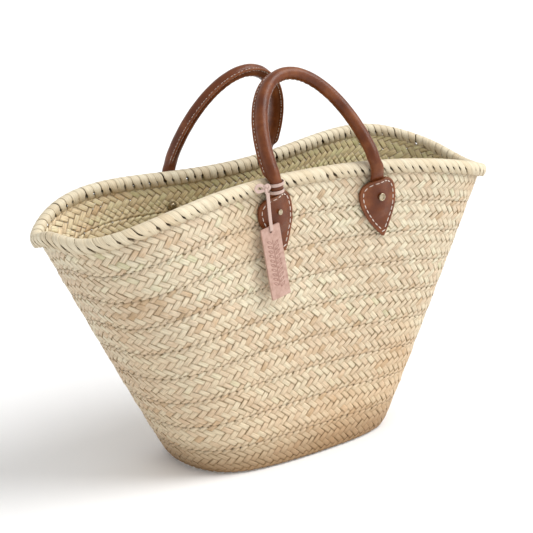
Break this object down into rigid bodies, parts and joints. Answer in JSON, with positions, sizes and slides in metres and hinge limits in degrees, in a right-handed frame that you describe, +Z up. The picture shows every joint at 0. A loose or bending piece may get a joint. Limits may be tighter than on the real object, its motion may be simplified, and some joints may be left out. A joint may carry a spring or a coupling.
{
  "type": "woven market basket",
  "caption": "Oval plaited palm-leaf market basket with a bound rim, folding leather-covered rope handles on riveted leaf-shaped tabs, and a hang tag on a ribbon.",
  "frame": {"origin": "centre of the whole basket's box, on the surface it stands on", "axes": "+X along the mouth towards the right tip, -Y out of the front wall that carries the hang tag, +Z up"},
  "size_m": [0.5846, 0.1956, 0.4286],
  "materials": {
    "palm_leaf": "dry plaited palm leaf, matt with a faint sheen on each strip",
    "palm_cord": "matt twisted palm fibre",
    "rope": "matt twisted fibre",
    "leather": "smooth brown leather, satin, with worn highlights",
    "thread": "waxed off-white thread",
    "rivet_metal": "pale polished metal",
    "ribbon": "soft matt flat cord",
    "tag_leather": "matt dusty pink leather"
  },
  "bodies": {
    "basket": {"base_plait": "palm_leaf", "wall_turn_1": "palm_leaf", "wall_turn_2": "palm_leaf", "wall_turn_3": "palm_leaf", "wall_turn_4": "palm_leaf", "wall_turn_5": "palm_leaf", "wall_turn_6": "palm_leaf", "wall_turn_7": "palm_leaf", "wall_turn_8": "palm_leaf", "wall_turn_9": "palm_leaf", "sewing_cord_1": "palm_cord", "sewing_cord_2": "palm_cord", "sewing_cord_3": "palm_cord", "sewing_cord_4": "palm_cord", "sewing_cord_5": "palm_cord", "sewing_cord_6": "palm_cord", "sewing_cord_7": "palm_cord", "sewing_cord_8": "palm_cord", "rim_core": "rope", "rim_wrap": "palm_leaf", "front_left_handle_end": "leather", "front_left_tab": "leather", "front_left_tab_thread": "thread", "front_left_rivet": "rivet_metal", "front_left_washer": "rivet_metal", "front_right_handle_end": "leather", "front_right_tab": "leather", "front_right_tab_thread": "thread", "front_right_rivet": "rivet_metal", "front_right_washer": "rivet_metal", "back_left_handle_end": "leather", "back_left_tab": "leather", "back_left_tab_thread": "thread", "back_left_rivet": "rivet_metal", "back_left_washer": "rivet_metal", "back_right_handle_end": "leather", "back_right_tab": "leather", "back_right_tab_thread": "thread", "back_right_rivet": "rivet_metal", "back_right_washer": "rivet_metal", "ribbon_wraps": "ribbon", "ribbon_knot": "ribbon", "ribbon_tail": "ribbon"},
    "front_handle": {"front_handle_leather": "leather", "front_handle_rope": "rope", "front_handle_thread": "thread"},
    "back_handle": {"back_handle_leather": "leather", "back_handle_rope": "rope", "back_handle_thread": "thread"},
    "tag_ribbon": {"tag_cord": "ribbon"},
    "tag": {"hang_tag": "tag_leather"}
  },
  "joints": [
    {"name": "front_handle_fold", "type": "hinge", "parent": "basket", "child": "front_handle", "pos_m": [0.005, -0.08395, 0.333], "axis": [1, 0, 0], "range_deg": [-10, 120]},
    {"name": "back_handle_fold", "type": "hinge", "parent": "basket", "child": "back_handle", "pos_m": [0.001, 0.08671, 0.32327], "axis": [-1, 0, 0], "range_deg": [-10, 120]},
    {"name": "tag_lift", "type": "hinge", "parent": "basket", "child": "tag_ribbon", "pos_m": [-0.08, -0.09136, 0.319], "axis": [-1, 0, 0], "range_deg": [0, 100]},
    {"name": "tag_swing", "type": "hinge", "parent": "tag_ribbon", "child": "tag", "pos_m": [-0.073, -0.089, 0.271], "axis": [0, -1, 0], "range_deg": [-60, 4]}
  ]
}
